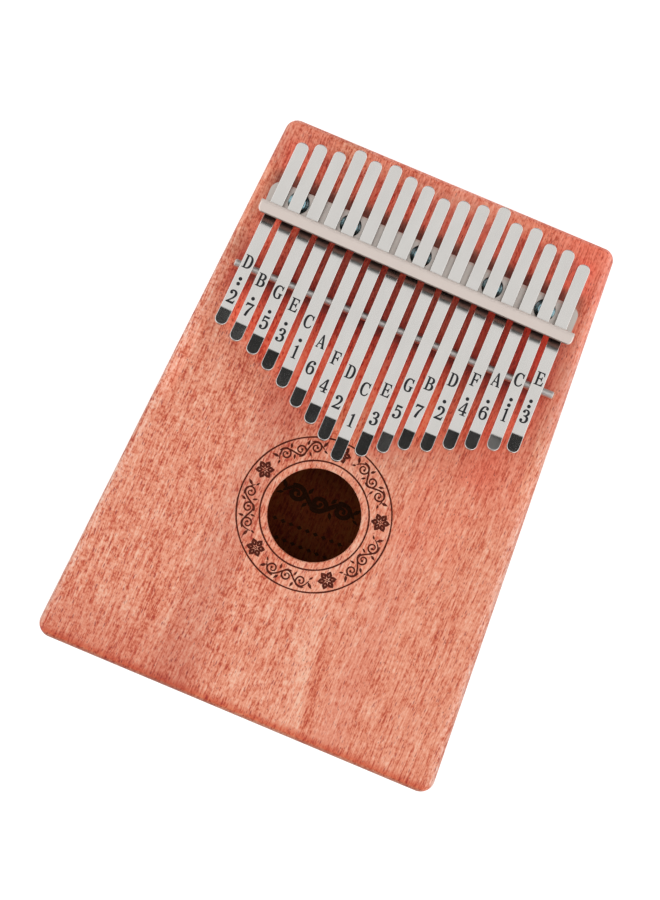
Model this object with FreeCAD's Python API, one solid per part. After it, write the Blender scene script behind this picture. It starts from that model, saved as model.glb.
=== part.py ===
import FreeCAD, Part
import math
import os

V = FreeCAD.Vector
os.makedirs("parts", exist_ok=True)

# ---------------------------------------------------------------------------
# Box-bodied mbira (kalimba) with seventeen flat steel tines.
# Frame: X across the tines, Y along the box towards the tine heels,
# Z out of the soundboard. The origin is the centre of the box's flat back.
# All sizes are in millimetres.
# ---------------------------------------------------------------------------

# Box
BODY_LENGTH = 184.8          # along Y
BODY_HALF_TOP = 56.80        # half width at the heel end, at the corners
BODY_HALF_BOTTOM = 69.15     # half width at the far end, at the corners
BODY_DEPTH = 30.0            # back face to soundboard face
BOARD_T = 4.0                # soundboard and back board
RIM_T = 8.0                  # wall of the side frame
CORNER_R_TOP = 4.0           # plan corners, heel end
CORNER_R_BOTTOM = 4.7        # plan corners, far end
EDGE_R = 2.0                 # rounded outer edges of both boards
INNER_CORNER_R = 6.0

# Sound hole
HOLE_X, HOLE_Y, HOLE_R = -0.20, -23.20, 15.2
HOLE_EDGE = 0.35

# Bridge block, glued under the soundboard
BLOCK_X, BLOCK_Y0, BLOCK_Y1, BLOCK_H = 48.5, 59.0, 76.0, 12.0

# Bracket: one Z-bent sheet
SHEET_T = 1.5
BAR_SKEW = -0.012            # the bar runs this much off X, as fitted
BAR_REAR_Y = 63.2            # rear edge of the bar at X = 0
BAR_DEPTH = 4.25
BAR_X0, BAR_X1 = -54.75, 54.05
BAR_UNDER = 8.25             # underside of the bar above the soundboard
BAR_CORNER_R = 1.7
FLANGE_X0, FLANGE_X1 = -53.9, 53.15
FLANGE_REAR_Y0, FLANGE_REAR_Y1 = 71.57, 71.17
FLANGE_CORNER_R = 3.4
WINDOW_SIDE = 0.25           # clearance each side of a tine
WINDOW_OVER = 0.38
WINDOW_UNDER = 0.35

# Screws
SCREW_X = [-43.64, -25.51, -0.91, 24.09, 42.42]
SCREW_Y = 66.9               # at X = 0, follows the skew of the bar
SCREW_HEAD_R, SCREW_HEAD_H = 3.5, 2.4
SCREW_SHANK_R, SCREW_LEN = 1.75, 13.0
PILOT_R = 1.80
FLANGE_HOLE_R = 2.1

# Saddle: steel rod on a wooden blade
ROD_R = 1.175
ROD_Y = 41.83
ROD_X0, ROD_X1 = -55.0, 55.3
STRIP_X0, STRIP_X1 = -55.7, 56.1
STRIP_W = 2.3
STRIP_SLOT = 1.0

# Tines
TINE_W = 4.2
TINE_T = 1.0
ROD_GAP = 0.12               # running clearance over the rod
TINE_AT_ROD = 8.81           # top of the tine over the rod, above the soundboard
FRONT_SLOPE = 2.0            # degrees, rises towards the tip
TIP_BEND = 20.0              # degrees added at the tip
TIP_BEND_R = 3.0
DIP_ANGLE = 24.0             # steepest slope of the dip under the bar
DIP_R_FRONT = 5.0
DIP_R_REAR = 4.0
DIP_RUN = 2.26               # straight between the two arcs of the dip
DIP_START_Y = 54.9           # at X = 0, follows the skew of the bar
REAR_SLOPE = 4.5             # degrees, rises towards the heel
SPLIT = 0.09                 # half gap between heel and reed at the rod
TIP_R = 2.0
HEEL_R = 1.95

# x on the rod line, lean (dx/dy), heel end y, tip end y, start of the tip bend
TINES = [
    (-50.91, 0.0436, 85.2, 21.5, 26.9),
    (-44.67, 0.0296, 86.9, 18.5, 24.3),
    (-38.18, 0.0270, 87.1, 16.6, 23.0),
    (-31.94, 0.0206, 90.1, 13.8, 20.4),
    (-25.75, 0.0119, 88.8, 10.5, 16.8),
    (-19.28, 0.0108, 90.1, 6.4, 12.7),
    (-13.12, 0.0065, 88.6, 3.4, 9.8),
    (-7.04, 0.0089, 88.0, 0.2, 7.8),
    (-0.80, 0.0056, 86.3, -4.3, 3.3),
    (5.57, 0.0012, 88.0, 0.1, 7.8),
    (11.59, 0.0053, 89.2, 3.8, 10.3),
    (17.67, 0.0133, 91.1, 7.2, 13.8),
    (23.92, -0.0028, 88.0, 9.5, 15.3),
    (30.36, -0.0020, 89.0, 12.8, 19.1),
    (36.68, -0.0077, 86.1, 15.5, 21.3),
    (43.16, -0.0190, 86.5, 18.1, 22.9),
    (49.27, -0.0152, 84.1, 19.9, 25.8),
]

TOP = BODY_DEPTH
ROD_Z = TOP + TINE_AT_ROD - TINE_T - ROD_GAP - ROD_R


def save(shape, name):
    shape.exportStep("parts/%s.step" % name)
    print("%-18s solids %d  volume %.1f  valid %s" % (
        name, len(shape.Solids), shape.Volume, shape.isValid()))


def prism(points, z0, z1):
    wire = Part.makePolygon([V(x, y, z0) for x, y in points] + [V(points[0][0], points[0][1], z0)])
    return Part.Face(wire).extrude(V(0, 0, z1 - z0))


def upright_edges(shape, test):
    found = []
    for e in shape.Edges:
        a, b = e.Vertexes[0].Point, e.Vertexes[-1].Point
        if abs(a.x - b.x) < 1e-6 and abs(a.y - b.y) < 1e-6 and abs(a.z - b.z) > 1e-3:
            if test(a.x, a.y):
                found.append(e)
    return found


def trapezoid(inset, z0, z1, corner):
    half = BODY_LENGTH / 2
    lean = (BODY_HALF_BOTTOM - BODY_HALF_TOP) / BODY_LENGTH
    side = inset * math.sqrt(1 + lean * lean)
    y0, y1 = -half + inset, half - inset

    def width(y):
        return BODY_HALF_TOP + (half - y) * lean - side

    solid = prism([(-width(y0), y0), (width(y0), y0), (width(y1), y1), (-width(y1), y1)], z0, z1)
    if not isinstance(corner, tuple):
        return solid.makeFillet(corner, upright_edges(solid, lambda x, y: True))
    solid = solid.makeFillet(corner[0], upright_edges(solid, lambda x, y: y > 0))
    return solid.makeFillet(corner[1], upright_edges(solid, lambda x, y: y < 0 and abs(y + half - inset) < 1e-6))


def rim_edges(shape, z):
    found = []
    for e in shape.Edges:
        if all(abs(v.Point.z - z) < 1e-6 for v in e.Vertexes):
            box = e.BoundBox
            if abs(box.ZMin - z) < 1e-6 and abs(box.ZMax - z) < 1e-6:
                found.append(e)
    return found


# ---------------------------------------------------------------------------
# Box: soundboard, side frame, back board and the block the screws bite into
# ---------------------------------------------------------------------------
CORNER_R = (CORNER_R_TOP, CORNER_R_BOTTOM)
soundboard = trapezoid(0.0, TOP - BOARD_T, TOP, CORNER_R)
soundboard = soundboard.makeFillet(EDGE_R, rim_edges(soundboard, TOP))
hole = Part.makeCylinder(HOLE_R, BOARD_T + 2, V(HOLE_X, HOLE_Y, TOP - BOARD_T - 1))
bevel = Part.makeCone(HOLE_R, HOLE_R + HOLE_EDGE, HOLE_EDGE, V(HOLE_X, HOLE_Y, TOP - HOLE_EDGE))
soundboard = soundboard.cut(hole).cut(bevel)
slot = Part.makeBox(STRIP_X1 - STRIP_X0 + 0.06, STRIP_W + 0.06, STRIP_SLOT + 1,
                    V(STRIP_X0 - 0.03, ROD_Y - STRIP_W / 2 - 0.03, TOP - STRIP_SLOT))
soundboard = soundboard.cut(slot)
for sx in SCREW_X:
    soundboard = soundboard.cut(Part.makeCylinder(PILOT_R, BOARD_T + 2, V(sx, SCREW_Y + BAR_SKEW * sx, TOP - BOARD_T - 1)))
save(soundboard, "soundboard")

side_frame = trapezoid(0.0, BOARD_T, TOP - BOARD_T, CORNER_R)
side_frame = side_frame.cut(trapezoid(RIM_T, BOARD_T - 1, TOP - BOARD_T + 1, INNER_CORNER_R))
save(side_frame, "side_frame")

back_board = trapezoid(0.0, 0.0, BOARD_T, CORNER_R)
back_board = back_board.makeFillet(EDGE_R, rim_edges(back_board, 0.0))
save(back_board, "back_board")

bridge_block = Part.makeBox(2 * BLOCK_X, BLOCK_Y1 - BLOCK_Y0, BLOCK_H,
                            V(-BLOCK_X, BLOCK_Y0, TOP - BOARD_T - BLOCK_H))
low = [e for e in rim_edges(bridge_block, TOP - BOARD_T - BLOCK_H)
       if abs(e.Vertexes[0].Point.y - e.Vertexes[1].Point.y) < 1e-6]
bridge_block = bridge_block.makeFillet(3.0, low)
for sx in SCREW_X:
    bridge_block = bridge_block.cut(Part.makeCylinder(
        PILOT_R, SCREW_LEN, V(sx, SCREW_Y + BAR_SKEW * sx, TOP + SHEET_T - SCREW_LEN - 0.5)))
save(bridge_block, "bridge_block")


# ---------------------------------------------------------------------------
# Tines: a side profile extruded across the width, trimmed by the plan outline
# ---------------------------------------------------------------------------
def profile(start, heading, steps, thick):
    """Closed face in the XZ plane (X is distance along the tine): a strip of
    the given thickness about a path of straight runs and tangent arcs. The
    path is the strip's top; a positive arc turns upwards."""
    def at(p, h, off):
        return V(p[0] + off * math.sin(h), 0, p[1] - off * math.cos(h))

    p, h = start, math.radians(heading)
    top, under = [], []
    first = (at(p, h, 0), at(p, h, thick))
    for kind, a, b in steps:
        if kind == "run":
            q = (p[0] + a * math.cos(h), p[1] + a * math.sin(h))
            top.append(Part.LineSegment(at(p, h, 0), at(q, h, 0)).toShape())
            under.append(Part.LineSegment(at(p, h, thick), at(q, h, thick)).toShape())
            p = q
        else:
            turn, r = math.radians(a), b
            s = 1 if turn > 0 else -1
            c = (p[0] - s * r * math.sin(h), p[1] + s * r * math.cos(h))

            def on(angle):
                return (c[0] + s * r * math.sin(angle), c[1] - s * r * math.cos(angle))

            mid, end = h + turn / 2, h + turn
            pm, pe = on(mid), on(end)
            top.append(Part.Arc(at(p, h, 0), at(pm, mid, 0), at(pe, end, 0)).toShape())
            under.append(Part.Arc(at(p, h, thick), at(pm, mid, thick), at(pe, end, thick)).toShape())
            p, h = pe, end
    last = (at(p, h, 0), at(p, h, thick))
    edges = top + [Part.LineSegment(last[0], last[1]).toShape()] + under
    edges.append(Part.LineSegment(first[1], first[0]).toShape())
    return Part.Face(Part.Wire(Part.__sortEdges__(edges)))


def place(shape, x, lean, flip):
    """Local X (along the tine) to its direction in the row frame. flip: local
    X points to the tip instead of the heel."""
    angle = 90 - math.degrees(math.atan(lean)) + (180 if flip else 0)
    shape = shape.copy()
    shape.rotate(V(0, 0, 0), V(0, 0, 1), angle)
    shape.translate(V(x, ROD_Y, 0))
    return shape


def plan(length, r):
    strip = Part.makeBox(length + 1, TINE_W, 40, V(-1, -TINE_W / 2, TOP))
    corners = upright_edges(strip, lambda x, y: x > length - 0.01)
    return strip.makeFillet(r, corners)


TIP_SLOPE = FRONT_SLOPE + TIP_BEND
windows = []
for k, (x, lean, heel_y, tip_y, bend_y) in enumerate(TINES, 1):
    scale = math.sqrt(1 + lean * lean)
    z_rod = TOP + TINE_AT_ROD
    f = math.radians(FRONT_SLOPE)

    # heel: rod line to the rear end, dipping under the bar
    dip_y = DIP_START_Y + BAR_SKEW * x
    run = (dip_y - ROD_Y) * scale / math.cos(f)
    start = (SPLIT, z_rod - SPLIT * math.tan(f))
    steps = [("run", run - SPLIT / math.cos(f), 0),
             ("arc", -(DIP_ANGLE - FRONT_SLOPE), DIP_R_FRONT),
             ("run", DIP_RUN, 0),
             ("arc", DIP_ANGLE + REAR_SLOPE, DIP_R_REAR),
             ("run", 45.0, 0)]
    face = profile(start, -FRONT_SLOPE, steps, TINE_T)
    face.translate(V(0, -TINE_W / 2, 0))
    heel = face.extrude(V(0, TINE_W, 0))
    length = (heel_y - ROD_Y) * scale
    heel = heel.common(plan(length, HEEL_R))
    heel = place(heel, x, lean, False)
    save(heel, "tine_%02d_heel" % k)

    # reed: rod line to the tip, which turns up
    run = (ROD_Y - bend_y) * scale / math.cos(f)
    start = (SPLIT, z_rod + SPLIT * math.tan(f))
    steps = [("run", run - SPLIT / math.cos(f) - TIP_BEND_R * math.tan(math.radians(TIP_BEND / 2)), 0),
             ("arc", TIP_BEND, TIP_BEND_R),
             ("run", 12.0, 0)]
    face = profile(start, FRONT_SLOPE, steps, TINE_T)
    face.translate(V(0, -TINE_W / 2, 0))
    reed = face.extrude(V(0, TINE_W, 0))
    length = (ROD_Y - tip_y) * scale
    reed = reed.common(plan(length, TIP_R))
    reed = place(reed, x, lean, True)
    save(reed, "tine_%02d_reed" % k)

    # the height of the tine where it passes the web
    web_y = BAR_REAR_Y - SHEET_T / 2 + BAR_SKEW * x
    probe = heel.common(Part.makeBox(200, SHEET_T, 30, V(-100, web_y - SHEET_T / 2, TOP)))
    windows.append((x + (web_y - ROD_Y) * lean, web_y, lean, probe.BoundBox.ZMin, probe.BoundBox.ZMax))


# ---------------------------------------------------------------------------
# Bracket: rear flange on the wood, a web with a window for each tine, and the
# bar, which is the top flange
# ---------------------------------------------------------------------------
def line_y(x, y_at_zero):
    return y_at_zero + BAR_SKEW * x


bar_top = TOP + BAR_UNDER + SHEET_T
front = BAR_REAR_Y - BAR_DEPTH
bar = prism([(BAR_X0, line_y(BAR_X0, front)), (BAR_X1, line_y(BAR_X1, front)),
             (BAR_X1, line_y(BAR_X1, BAR_REAR_Y)), (BAR_X0, line_y(BAR_X0, BAR_REAR_Y))],
            TOP + BAR_UNDER, bar_top)
bar = bar.makeFillet(BAR_CORNER_R, upright_edges(bar, lambda x, y: y < line_y(x, front) + 0.1))
web = prism([(FLANGE_X0, line_y(FLANGE_X0, BAR_REAR_Y - SHEET_T)), (FLANGE_X1, line_y(FLANGE_X1, BAR_REAR_Y - SHEET_T)),
             (FLANGE_X1, line_y(FLANGE_X1, BAR_REAR_Y)), (FLANGE_X0, line_y(FLANGE_X0, BAR_REAR_Y))],
            TOP, TOP + BAR_UNDER + SHEET_T)
flange = prism([(FLANGE_X0, line_y(FLANGE_X0, BAR_REAR_Y - SHEET_T)), (FLANGE_X1, line_y(FLANGE_X1, BAR_REAR_Y - SHEET_T)),
                (FLANGE_X1, FLANGE_REAR_Y1), (FLANGE_X0, FLANGE_REAR_Y0)], TOP, TOP + SHEET_T)
flange = flange.makeFillet(FLANGE_CORNER_R, upright_edges(flange, lambda x, y: y > 70))
bracket = flange.fuse([web, bar]).removeSplitter()


def along_bar(shape, y_at_zero, z):
    found = []
    for e in shape.Edges:
        a, b = e.Vertexes[0].Point, e.Vertexes[-1].Point
        if abs(a.z - z) < 1e-4 and abs(b.z - z) < 1e-4 and abs(a.x - b.x) > 20:
            if abs(a.y - line_y(a.x, y_at_zero)) < 1e-3 and abs(b.y - line_y(b.x, y_at_zero)) < 1e-3:
                found.append(e)
    return found


bends = [(BAR_REAR_Y, bar_top, 1.1), (BAR_REAR_Y - SHEET_T, TOP, 1.1),
         (BAR_REAR_Y - SHEET_T, TOP + BAR_UNDER, 0.35), (BAR_REAR_Y, TOP + SHEET_T, 0.15),
         (front, bar_top, 0.45), (front, TOP + BAR_UNDER, 0.35)]
for y0, z0, r in bends:
    edges = along_bar(bracket, y0, z0)
    if not edges:
        print("no edge for bend", y0, z0)
        continue
    try:
        done = bracket.makeFillet(r, edges)
        if done.isValid():
            bracket = done
    except Exception as err:
        print("bend left sharp", y0, z0, err)
for wx, wy, lean, z0, z1 in windows:
    w = TINE_W + 2 * WINDOW_SIDE
    cut = Part.makeBox(w, SHEET_T + 1.4, z1 - z0 + WINDOW_OVER + WINDOW_UNDER, V(-w / 2, -(SHEET_T + 1.4) / 2, 0))
    cut.rotate(V(0, 0, 0), V(0, 0, 1), -math.degrees(math.atan(lean)))
    cut.translate(V(wx, wy, z0 - WINDOW_UNDER))
    bracket = bracket.cut(cut)
for sx in SCREW_X:
    bracket = bracket.cut(Part.makeCylinder(FLANGE_HOLE_R, 4, V(sx, SCREW_Y + BAR_SKEW * sx, TOP - 1)))
save(bracket, "bridge_bracket")

# ---------------------------------------------------------------------------
# Screws: pan heads with a cross recess, tapered points
# ---------------------------------------------------------------------------
screws = []
seat = TOP + SHEET_T
for i, sx in enumerate(SCREW_X):
    r, h = SCREW_HEAD_R, SCREW_HEAD_H
    pts_rim = 0.9
    outline = [
        Part.LineSegment(V(0, 0, h), V(r * 0.45, 0, h)).toShape(),
        Part.Arc(V(r * 0.45, 0, h), V(r * 0.83, 0, h * 0.80), V(r, 0, pts_rim)).toShape(),
        Part.LineSegment(V(r, 0, pts_rim), V(r, 0, 0)).toShape(),
        Part.LineSegment(V(r, 0, 0), V(SCREW_SHANK_R, 0, 0)).toShape(),
        Part.LineSegment(V(SCREW_SHANK_R, 0, 0), V(SCREW_SHANK_R, 0, -SCREW_LEN + 3.0)).toShape(),
        Part.LineSegment(V(SCREW_SHANK_R, 0, -SCREW_LEN + 3.0), V(0.25, 0, -SCREW_LEN + 0.4)).toShape(),
        Part.LineSegment(V(0.25, 0, -SCREW_LEN + 0.4), V(0, 0, -SCREW_LEN + 0.4)).toShape(),
        Part.LineSegment(V(0, 0, -SCREW_LEN + 0.4), V(0, 0, h)).toShape(),
    ]
    screw = Part.Face(Part.Wire(outline)).revolve(V(0, 0, 0), V(0, 0, 1), 360)
    if screw.ShapeType != "Solid":
        screw = screw.Solids[0]
    for a in (0, 90):
        blade = Part.makeBox(3.8, 0.85, 1.6, V(-1.9, -0.425, h - 1.35))
        blade.rotate(V(0, 0, 0), V(0, 0, 1), a + 22 * i)
        screw = screw.cut(blade)
    screw.translate(V(sx, SCREW_Y + BAR_SKEW * sx, seat))
    screws.append(screw)
save(Part.makeCompound(screws), "bracket_screws")

# ---------------------------------------------------------------------------
# Saddle: wooden blade in its slot, and the steel rod lying in its groove
# ---------------------------------------------------------------------------
rod = Part.makeCylinder(ROD_R, ROD_X1 - ROD_X0, V(ROD_X0, ROD_Y, ROD_Z), V(1, 0, 0))
ends = [e for e in rod.Edges if e.BoundBox.XLength < 1e-6]
rod = rod.makeFillet(0.45, ends)
save(rod, "saddle_rod")

strip = Part.makeBox(STRIP_X1 - STRIP_X0, STRIP_W, ROD_Z - 0.6 - (TOP - STRIP_SLOT),
                     V(STRIP_X0, ROD_Y - STRIP_W / 2, TOP - STRIP_SLOT))
strip = strip.cut(Part.makeCylinder(ROD_R + 0.02, ROD_X1 - ROD_X0 + 10, V(ROD_X0 - 5, ROD_Y, ROD_Z + 0.01), V(1, 0, 0)))
save(strip, "saddle_strip")
print("rod axis z", ROD_Z, "bar top z", bar_top)
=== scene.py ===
import math
import random

import bpy
import bmesh
import numpy as np
from mathutils import Matrix, Vector

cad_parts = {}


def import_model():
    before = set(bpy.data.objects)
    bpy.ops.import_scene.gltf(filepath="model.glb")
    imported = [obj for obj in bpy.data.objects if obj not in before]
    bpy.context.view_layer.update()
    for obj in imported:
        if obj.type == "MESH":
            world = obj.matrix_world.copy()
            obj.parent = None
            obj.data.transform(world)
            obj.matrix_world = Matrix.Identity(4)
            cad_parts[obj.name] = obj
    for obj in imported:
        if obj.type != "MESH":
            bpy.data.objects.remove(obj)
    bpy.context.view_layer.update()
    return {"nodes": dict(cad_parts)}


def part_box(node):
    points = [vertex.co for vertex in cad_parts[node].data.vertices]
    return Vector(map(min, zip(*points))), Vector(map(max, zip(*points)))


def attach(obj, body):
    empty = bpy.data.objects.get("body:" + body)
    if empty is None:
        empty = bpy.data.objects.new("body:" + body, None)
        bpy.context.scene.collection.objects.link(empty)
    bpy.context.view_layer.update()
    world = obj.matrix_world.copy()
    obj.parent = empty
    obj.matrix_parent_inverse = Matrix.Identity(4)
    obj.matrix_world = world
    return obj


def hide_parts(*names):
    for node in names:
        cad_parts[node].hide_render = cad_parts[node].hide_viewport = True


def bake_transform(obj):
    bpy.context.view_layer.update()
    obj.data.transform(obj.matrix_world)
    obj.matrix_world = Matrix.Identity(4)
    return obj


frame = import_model()
NODES = frame["nodes"]
MM = 0.001
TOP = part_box("soundboard")[1].z / MM        # soundboard face, in mm

# ---------------------------------------------------------------------------
# Sizes shared with the CAD model, in millimetres
# ---------------------------------------------------------------------------
ROD_Y = 41.83
TINE_W, TINE_T = 4.2, 1.0
AT_ROD = 8.81
FRONT_SLOPE, TIP_BEND, TIP_BEND_R = 2.0, 20.0, 3.0
DIP_ANGLE, DIP_R_FRONT, DIP_R_REAR, DIP_RUN, DIP_START_Y = 24.0, 5.0, 4.0, 2.26, 54.9
BAR_SKEW = -0.012
REAR_SLOPE = 4.5
HOLE_X, HOLE_Y, HOLE_R = -0.20, -23.20, 15.2

# x on the rod line, lean (dx/dy), heel end y, tip end y, start of the tip bend
TINES = [
    (-50.91, 0.0436, 85.2, 21.5, 26.9),
    (-44.67, 0.0296, 86.9, 18.5, 24.3),
    (-38.18, 0.0270, 87.1, 16.6, 23.0),
    (-31.94, 0.0206, 90.1, 13.8, 20.4),
    (-25.75, 0.0119, 88.8, 10.5, 16.8),
    (-19.28, 0.0108, 90.1, 6.4, 12.7),
    (-13.12, 0.0065, 88.6, 3.4, 9.8),
    (-7.04, 0.0089, 88.0, 0.2, 7.8),
    (-0.80, 0.0056, 86.3, -4.3, 3.3),
    (5.57, 0.0012, 88.0, 0.1, 7.8),
    (11.59, 0.0053, 89.2, 3.8, 10.3),
    (17.67, 0.0133, 91.1, 7.2, 13.8),
    (23.92, -0.0028, 88.0, 9.5, 15.3),
    (30.36, -0.0020, 89.0, 12.8, 19.1),
    (36.68, -0.0077, 86.1, 15.5, 21.3),
    (43.16, -0.0190, 86.5, 18.1, 22.9),
    (49.27, -0.0152, 84.1, 19.9, 25.8),
]
# note letter, its centre, octave dots, scale digit, its centre (y, in mm)
LABELS = [
    ("D", 43.3, (37.4, 35.7), "2", 31.2),
    ("B", 39.6, (33.1,), "7", 29.3),
    ("G", 38.2, (31.3,), "5", 27.5),
    ("E", 36.4, (29.8,), "3", 25.9),
    ("C", 33.3, (26.7,), "1", 22.7),
    ("A", 29.0, (), "6", 20.0),
    ("F", 25.9, (), "4", 16.4),
    ("D", 23.6, (), "2", 13.2),
    ("C", 20.4, (), "1", 9.5),
    ("E", 22.7, (), "3", 12.9),
    ("G", 27.0, (), "5", 17.7),
    ("B", 29.9, (), "7", 20.4),
    ("D", 33.9, (26.5,), "2", 22.6),
    ("F", 36.7, (30.1,), "4", 26.7),
    ("A", 39.4, (31.9,), "6", 28.0),
    ("C", 42.2, (35.3, 33.4), "1", 30.1),
    ("E", 45.0, (37.3, 35.5), "3", 32.1),
]


# ---------------------------------------------------------------------------
# Node helpers
# ---------------------------------------------------------------------------
class Tree:
    """A short way to write a material's node tree."""

    def __init__(self, name):
        self.mat = bpy.data.materials.new(name)
        self.mat.use_nodes = True
        self.t = self.mat.node_tree
        self.t.nodes.clear()
        self.out = self.t.nodes.new("ShaderNodeOutputMaterial")
        self.bsdf = self.t.nodes.new("ShaderNodeBsdfPrincipled")
        self.link(self.bsdf.outputs[0], self.out.inputs["Surface"])
        self.coord = self.t.nodes.new("ShaderNodeTexCoord").outputs["Object"]

    def link(self, a, b):
        self.t.links.new(a, b)

    def put(self, value, socket):
        if isinstance(value, bpy.types.NodeSocket):
            self.link(value, socket)
        else:
            socket.default_value = value

    def math(self, op, a, b=0.0, c=0.0, clamp=False):
        n = self.t.nodes.new("ShaderNodeMath")
        n.operation, n.use_clamp = op, clamp
        self.put(a, n.inputs[0])
        self.put(b, n.inputs[1])
        self.put(c, n.inputs[2])
        return n.outputs[0]

    def vmath(self, op, a, b=(0, 0, 0)):
        n = self.t.nodes.new("ShaderNodeVectorMath")
        n.operation = op
        self.put(a, n.inputs[0])
        self.put(b, n.inputs[1])
        return n.outputs["Value"] if op in ("LENGTH", "DOT_PRODUCT", "DISTANCE") else n.outputs[0]

    def scaled(self, sx, sy, sz, shift=(0, 0, 0), source=None):
        """Object coordinates times so many cycles per millimetre."""
        v = self.vmath("MULTIPLY", source or self.coord, (sx * 1000, sy * 1000, sz * 1000))
        return self.vmath("ADD", v, shift) if any(shift) else v

    def noise(self, vector, detail=2.0, rough=0.5, distort=0.0, scale=1.0, lac=2.0):
        n = self.t.nodes.new("ShaderNodeTexNoise")
        self.put(vector, n.inputs["Vector"])
        n.inputs["Scale"].default_value = scale
        n.inputs["Detail"].default_value = detail
        n.inputs["Roughness"].default_value = rough
        n.inputs["Distortion"].default_value = distort
        n.inputs["Lacunarity"].default_value = lac
        return n.outputs["Fac"]

    def voronoi(self, vector, feature="F1", rand=1.0):
        n = self.t.nodes.new("ShaderNodeTexVoronoi")
        n.feature = feature
        self.put(vector, n.inputs["Vector"])
        n.inputs["Scale"].default_value = 1.0
        n.inputs["Randomness"].default_value = rand
        return n.outputs["Distance"], n.outputs["Color"]

    def ramp(self, fac, stops, mode="LINEAR"):
        n = self.t.nodes.new("ShaderNodeValToRGB")
        n.color_ramp.interpolation = mode
        els = n.color_ramp.elements
        while len(els) < len(stops):
            els.new(0.5)
        for e, (p, c) in zip(els, stops):
            e.position = p
            e.color = (c, c, c, 1) if isinstance(c, (int, float)) else (*c, 1)
        self.put(fac, n.inputs[0])
        return n.outputs[0]

    def step(self, fac, lo, hi, a=0.0, b=1.0, smooth=True):
        n = self.t.nodes.new("ShaderNodeMapRange")
        n.interpolation_type = "SMOOTHSTEP" if smooth else "LINEAR"
        self.put(fac, n.inputs["Value"])
        n.inputs["From Min"].default_value = lo
        n.inputs["From Max"].default_value = hi
        n.inputs["To Min"].default_value = a
        n.inputs["To Max"].default_value = b
        return n.outputs["Result"]

    def mix(self, fac, a, b, mode="MIX"):
        n = self.t.nodes.new("ShaderNodeMix")
        n.data_type, n.blend_type = "RGBA", mode
        n.clamp_factor = True
        self.put(fac, n.inputs["Factor"])
        for v, s in ((a, n.inputs[6]), (b, n.inputs[7])):
            self.put(v if isinstance(v, bpy.types.NodeSocket) else (*v, 1), s)
        return n.outputs[2]

    def bump(self, height, distance, strength=1.0, normal=None):
        n = self.t.nodes.new("ShaderNodeBump")
        n.inputs["Distance"].default_value = distance * MM
        n.inputs["Strength"].default_value = strength
        self.put(height, n.inputs["Height"])
        if normal is not None:
            self.link(normal, n.inputs["Normal"])
        return n.outputs[0]

    def split(self, v):
        n = self.t.nodes.new("ShaderNodeSeparateXYZ")
        self.put(v, n.inputs[0])
        return n.outputs

    def set(self, **kw):
        names = {"color": "Base Color", "metal": "Metallic", "rough": "Roughness", "normal": "Normal",
                 "spec": "Specular IOR Level", "coat": "Coat Weight", "coat_rough": "Coat Roughness",
                 "aniso": "Anisotropic", "sheen": "Sheen Weight", "ior": "IOR"}
        for k, v in kw.items():
            s = self.bsdf.inputs[names[k]]
            if k == "color" and not isinstance(v, bpy.types.NodeSocket):
                v = (*v, 1)
            self.put(v, s)
        return self.mat


def lin(r, g, b):
    """sRGB 0-255 to linear."""
    out = []
    for v in (r, g, b):
        v /= 255
        out.append(v / 12.92 if v <= 0.04045 else ((v + 0.055) / 1.055) ** 2.4)
    return tuple(out)


# ---------------------------------------------------------------------------
# Materials
# ---------------------------------------------------------------------------
def varnished(r, g, b, veil=0.055):
    """Diffuse colour that looks like this sRGB value under the varnish sheen."""
    return tuple(max(0.004, v - veil) for v in lin(r, g, b))


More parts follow.
